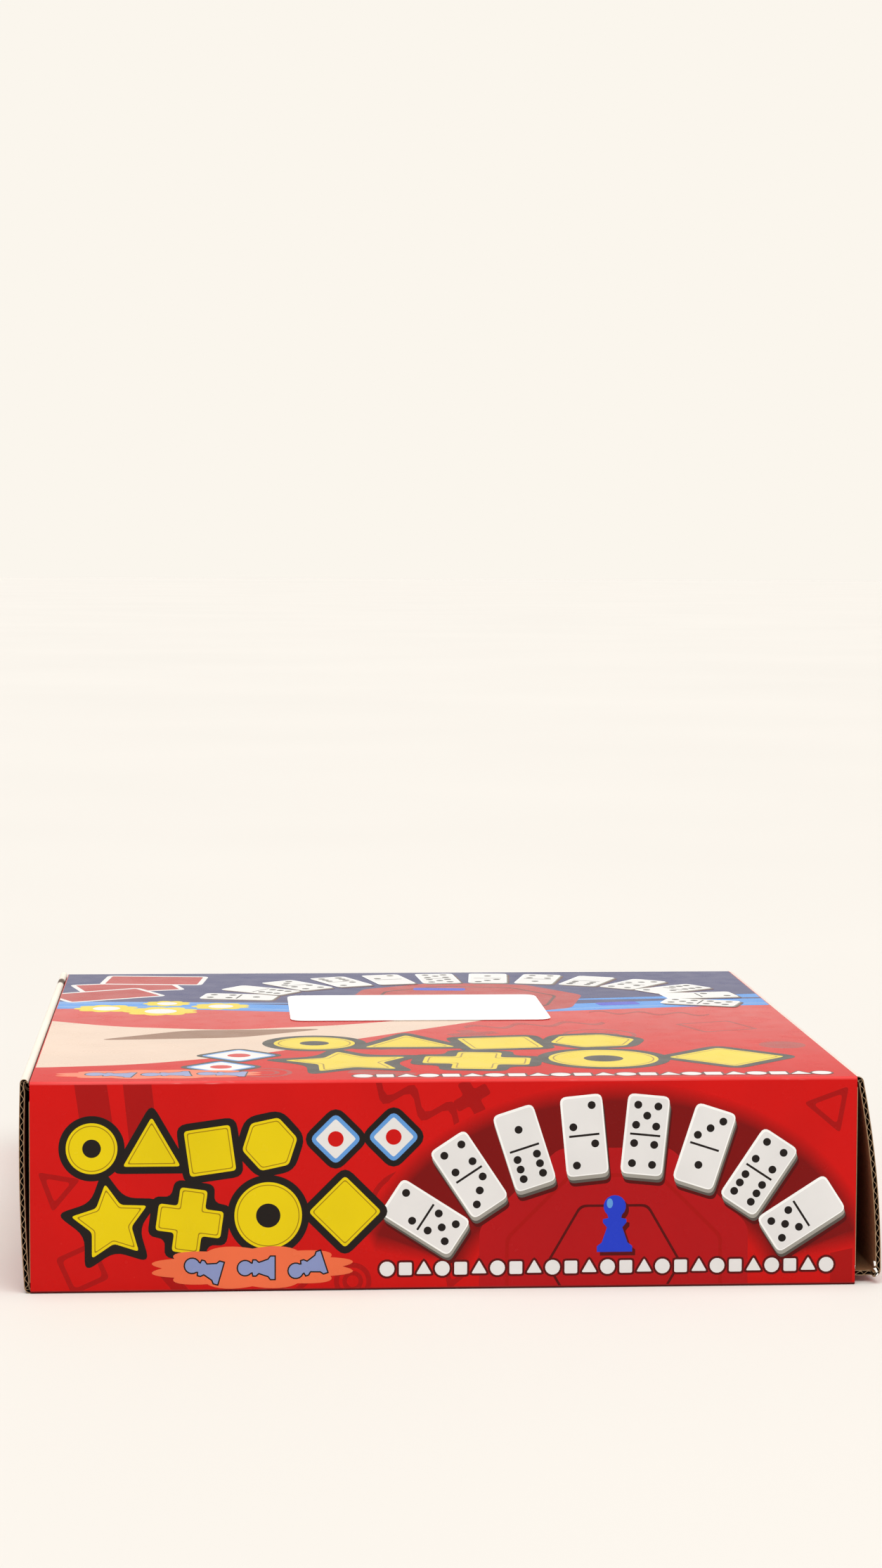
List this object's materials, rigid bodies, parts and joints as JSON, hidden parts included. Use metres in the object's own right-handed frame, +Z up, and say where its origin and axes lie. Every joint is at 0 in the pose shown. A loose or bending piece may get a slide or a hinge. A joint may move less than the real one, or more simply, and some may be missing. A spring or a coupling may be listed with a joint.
{
  "type": "letter wheel word game in carton",
  "caption": "Corrugated reverse-tuck carton, one end ajar, holding an eight-sided letter-key wheel with a timer button and category cards.",
  "frame": {"origin": "middle of the carton's underside, which lies on the table", "axes": "+Z up, -Y out of the wide printed front panel, +X towards the end flap that stands ajar"},
  "size_m": [0.2773, 0.265, 0.0689],
  "materials": {
    "printed_board": "printed and satin, brown kraft inside",
    "label_paper": "matt white",
    "card_stock": "smooth, rounded corners",
    "red_plastic": "moulded, semi-gloss",
    "white_plastic": "moulded, semi-gloss",
    "blue_plastic": "moulded, semi-gloss",
    "rubber_foot": "matt",
    "circuit_green": "solder mask",
    "black_plastic": "matt",
    "bright_steel": "bright",
    "cell_jacket": "wrapped, no print"
  },
  "bodies": {
    "carton": {"carton_sleeve": "printed_board", "label_sticker": "label_paper"},
    "wheel": {"wheel_housing": "red_plastic", "wheel_base": "red_plastic", "key_catch_band": "bright_steel", "button_spring": "bright_steel", "circuit_board": "circuit_green", "buzzer": "black_plastic", "battery_inner": "cell_jacket", "battery_outer": "cell_jacket", "contact_front": "bright_steel", "contact_rear": "bright_steel", "card_deck_lower": "card_stock", "card_deck_upper": "card_stock", "rules_leaflet": "label_paper", "screw_1": "bright_steel", "screw_2": "bright_steel", "screw_3": "bright_steel", "screw_4": "bright_steel", "foot_1": "rubber_foot", "foot_2": "rubber_foot", "foot_3": "rubber_foot", "foot_4": "rubber_foot"},
    "right_end_flap": {"right_end_flap": "printed_board"},
    "right_tuck_flap": {"right_tuck_flap": "printed_board"},
    "right_dust_flap_front": {"right_dust_flap_front": "printed_board"},
    "right_dust_flap_rear": {"right_dust_flap_rear": "printed_board"},
    "left_end_flap": {"left_end_flap": "printed_board"},
    "left_tuck_flap": {"left_tuck_flap": "printed_board"},
    "left_dust_flap_front": {"left_dust_flap_front": "printed_board"},
    "left_dust_flap_rear": {"left_dust_flap_rear": "printed_board"},
    "timer_button": {"timer_button": "red_plastic"},
    "mode_switch": {"mode_switch": "blue_plastic"},
    "card_door": {"card_door": "red_plastic"},
    "battery_door": {"battery_door": "red_plastic"},
    "key_A": {"key_A": "white_plastic"},
    "key_B": {"key_B": "white_plastic"},
    "key_C": {"key_C": "white_plastic"},
    "key_D": {"key_D": "white_plastic"},
    "key_E": {"key_E": "white_plastic"},
    "key_F": {"key_F": "white_plastic"},
    "key_G": {"key_G": "white_plastic"},
    "key_H": {"key_H": "white_plastic"},
    "key_I": {"key_I": "white_plastic"},
    "key_J": {"key_J": "white_plastic"},
    "key_K": {"key_K": "white_plastic"},
    "key_L": {"key_L": "white_plastic"},
    "key_M": {"key_M": "white_plastic"},
    "key_N": {"key_N": "white_plastic"},
    "key_O": {"key_O": "white_plastic"},
    "key_P": {"key_P": "white_plastic"},
    "key_Q": {"key_Q": "white_plastic"},
    "key_R": {"key_R": "white_plastic"},
    "key_S": {"key_S": "white_plastic"},
    "key_T": {"key_T": "white_plastic"},
    "key_U": {"key_U": "white_plastic"},
    "key_V": {"key_V": "white_plastic"},
    "key_W": {"key_W": "white_plastic"},
    "key_Z": {"key_Z": "white_plastic"}
  },
  "joints": [
    {"name": "wheel_slide", "type": "slide", "parent": "carton", "child": "wheel", "axis": [1, 0, 0], "range_m": [-0.002, 0.15]},
    {"name": "left_end_flap_crease", "type": "hinge", "parent": "carton", "child": "left_end_flap", "pos_m": [-0.1345, 0, 0], "axis": [0, -1, 0], "range_deg": [0, 85]},
    {"name": "timer_button_press", "type": "slide", "parent": "wheel", "child": "timer_button", "axis": [0, 0, -1], "range_m": [0, 0.0035], "stiffness_N_per_m": 400, "springref_m": -0.004, "deforming": ["button_spring"]},
    {"name": "mode_switch_slide", "type": "slide", "parent": "wheel", "child": "mode_switch", "axis": [-0.9239, -0.3827, 0], "range_m": [-0.004, 0.004]},
    {"name": "card_door_slide", "type": "slide", "parent": "wheel", "child": "card_door", "axis": [0, 1, 0], "range_m": [0, 0.07]},
    {"name": "battery_door_slide", "type": "slide", "parent": "wheel", "child": "battery_door", "axis": [1, 0, 0], "range_m": [0, 0.026]},
    {"name": "right_end_flap_crease", "type": "hinge", "parent": "carton", "child": "right_end_flap", "pos_m": [0.1345, 0, 0.068], "axis": [0, -1, 0], "range_deg": [-3.4, 241]},
    {"name": "right_tuck_crease", "type": "hinge", "parent": "right_end_flap", "child": "right_tuck_flap", "pos_m": [0.1387, 0, 0.0046], "axis": [0, -1, 0], "range_deg": [-0.7, 44]},
    {"name": "right_dust_front_crease", "type": "hinge", "parent": "carton", "child": "right_dust_flap_front", "pos_m": [0.1325, -0.1325, 0.034], "axis": [0, 0, -1], "range_deg": [-1.4, 91]},
    {"name": "right_dust_rear_crease", "type": "hinge", "parent": "carton", "child": "right_dust_flap_rear", "pos_m": [0.1325, 0.1325, 0.034], "axis": [0, 0, 1], "range_deg": [-1.4, 91]},
    {"name": "left_tuck_crease", "type": "hinge", "parent": "left_end_flap", "child": "left_tuck_flap", "pos_m": [-0.13425, 0, 0.0675], "axis": [0, -1, 0], "range_deg": [0, 26]},
    {"name": "left_dust_front_crease", "type": "hinge", "parent": "carton", "child": "left_dust_flap_front", "pos_m": [-0.1325, -0.1325, 0.034], "axis": [0, 0, 1], "range_deg": [0, 22]},
    {"name": "left_dust_rear_crease", "type": "hinge", "parent": "carton", "child": "left_dust_flap_rear", "pos_m": [-0.1325, 0.1325, 0.034], "axis": [0, 0, -1], "range_deg": [0, 22]},
    {"name": "key_D_hinge", "type": "hinge", "parent": "wheel", "child": "key_D", "pos_m": [0.07535, 0.00992, 0.0175], "axis": [-0.1305, 0.9914, 0], "range_deg": [0, 8]},
    {"name": "key_E_hinge", "type": "hinge", "parent": "wheel", "child": "key_E", "pos_m": [0.07021, 0.02908, 0.0175], "axis": [-0.3827, 0.9239, 0], "range_deg": [0, 8]},
    {"name": "key_F_hinge", "type": "hinge", "parent": "wheel", "child": "key_F", "pos_m": [0.0603, 0.04627, 0.0175], "axis": [-0.6088, 0.7934, 0], "range_deg": [0, 8]},
    {"name": "key_G_hinge", "type": "hinge", "parent": "wheel", "child": "key_G", "pos_m": [0.04627, 0.0603, 0.0175], "axis": [-0.7934, 0.6088, 0], "range_deg": [0, 8]},
    {"name": "key_H_hinge", "type": "hinge", "parent": "wheel", "child": "key_H", "pos_m": [0.02908, 0.07021, 0.0175], "axis": [-0.9239, 0.3827, 0], "range_deg": [0, 8]},
    {"name": "key_I_hinge", "type": "hinge", "parent": "wheel", "child": "key_I", "pos_m": [0.00992, 0.07535, 0.0175], "axis": [-0.9914, 0.1305, 0], "range_deg": [0, 8]},
    {"name": "key_J_hinge", "type": "hinge", "parent": "wheel", "child": "key_J", "pos_m": [-0.00992, 0.07535, 0.0175], "axis": [-0.9914, -0.1305, 0], "range_deg": [0, 8]},
    {"name": "key_K_hinge", "type": "hinge", "parent": "wheel", "child": "key_K", "pos_m": [-0.02908, 0.07021, 0.0175], "axis": [-0.9239, -0.3827, 0], "range_deg": [0, 8]},
    {"name": "key_L_hinge", "type": "hinge", "parent": "wheel", "child": "key_L", "pos_m": [-0.04627, 0.0603, 0.0175], "axis": [-0.7934, -0.6088, 0], "range_deg": [0, 8]},
    {"name": "key_M_hinge", "type": "hinge", "parent": "wheel", "child": "key_M", "pos_m": [-0.0603, 0.04627, 0.0175], "axis": [-0.6088, -0.7934, 0], "range_deg": [0, 8]},
    {"name": "key_N_hinge", "type": "hinge", "parent": "wheel", "child": "key_N", "pos_m": [-0.07021, 0.02908, 0.0175], "axis": [-0.3827, -0.9239, 0], "range_deg": [0, 8]},
    {"name": "key_O_hinge", "type": "hinge", "parent": "wheel", "child": "key_O", "pos_m": [-0.07535, 0.00992, 0.0175], "axis": [-0.1305, -0.9914, 0], "range_deg": [0, 8]},
    {"name": "key_P_hinge", "type": "hinge", "parent": "wheel", "child": "key_P", "pos_m": [-0.07535, -0.00992, 0.0175], "axis": [0.1305, -0.9914, 0], "range_deg": [0, 8]},
    {"name": "key_Q_hinge", "type": "hinge", "parent": "wheel", "child": "key_Q", "pos_m": [-0.07021, -0.02908, 0.0175], "axis": [0.3827, -0.9239, 0], "range_deg": [0, 8]},
    {"name": "key_R_hinge", "type": "hinge", "parent": "wheel", "child": "key_R", "pos_m": [-0.0603, -0.04627, 0.0175], "axis": [0.6088, -0.7934, 0], "range_deg": [0, 8]},
    {"name": "key_S_hinge", "type": "hinge", "parent": "wheel", "child": "key_S", "pos_m": [-0.04627, -0.0603, 0.0175], "axis": [0.7934, -0.6088, 0], "range_deg": [0, 8]},
    {"name": "key_T_hinge", "type": "hinge", "parent": "wheel", "child": "key_T", "pos_m": [-0.02908, -0.07021, 0.0175], "axis": [0.9239, -0.3827, 0], "range_deg": [0, 8]},
    {"name": "key_U_hinge", "type": "hinge", "parent": "wheel", "child": "key_U", "pos_m": [-0.00992, -0.07535, 0.0175], "axis": [0.9914, -0.1305, 0], "range_deg": [0, 8]},
    {"name": "key_V_hinge", "type": "hinge", "parent": "wheel", "child": "key_V", "pos_m": [0.00992, -0.07535, 0.0175], "axis": [0.9914, 0.1305, 0], "range_deg": [0, 8]},
    {"name": "key_W_hinge", "type": "hinge", "parent": "wheel", "child": "key_W", "pos_m": [0.02908, -0.07021, 0.0175], "axis": [0.9239, 0.3827, 0], "range_deg": [0, 8]},
    {"name": "key_Z_hinge", "type": "hinge", "parent": "wheel", "child": "key_Z", "pos_m": [0.04627, -0.0603, 0.0175], "axis": [0.7934, 0.6088, 0], "range_deg": [0, 8]},
    {"name": "key_A_hinge", "type": "hinge", "parent": "wheel", "child": "key_A", "pos_m": [0.0603, -0.04627, 0.0175], "axis": [0.6088, 0.7934, 0], "range_deg": [0, 8]},
    {"name": "key_B_hinge", "type": "hinge", "parent": "wheel", "child": "key_B", "pos_m": [0.07021, -0.02908, 0.0175], "axis": [0.3827, 0.9239, 0], "range_deg": [0, 8]},
    {"name": "key_C_hinge", "type": "hinge", "parent": "wheel", "child": "key_C", "pos_m": [0.07535, -0.00992, 0.0175], "axis": [0.1305, 0.9914, 0], "range_deg": [0, 8]}
  ],
  "couplings": [
    {"joint": "right_end_flap_crease", "follows": "wheel_slide", "rad_per_m": 27.925},
    {"joint": "right_tuck_crease", "follows": "wheel_slide", "rad_per_m": 5.0265},
    {"joint": "right_dust_front_crease", "follows": "wheel_slide", "rad_per_m": 10.472},
    {"joint": "right_dust_rear_crease", "follows": "wheel_slide", "rad_per_m": 10.472},
    {"joint": "left_tuck_crease", "follows": "left_end_flap_crease", "ratio": 0.3},
    {"joint": "left_dust_front_crease", "follows": "left_end_flap_crease", "ratio": 0.25},
    {"joint": "left_dust_rear_crease", "follows": "left_end_flap_crease", "ratio": 0.25}
  ]
}
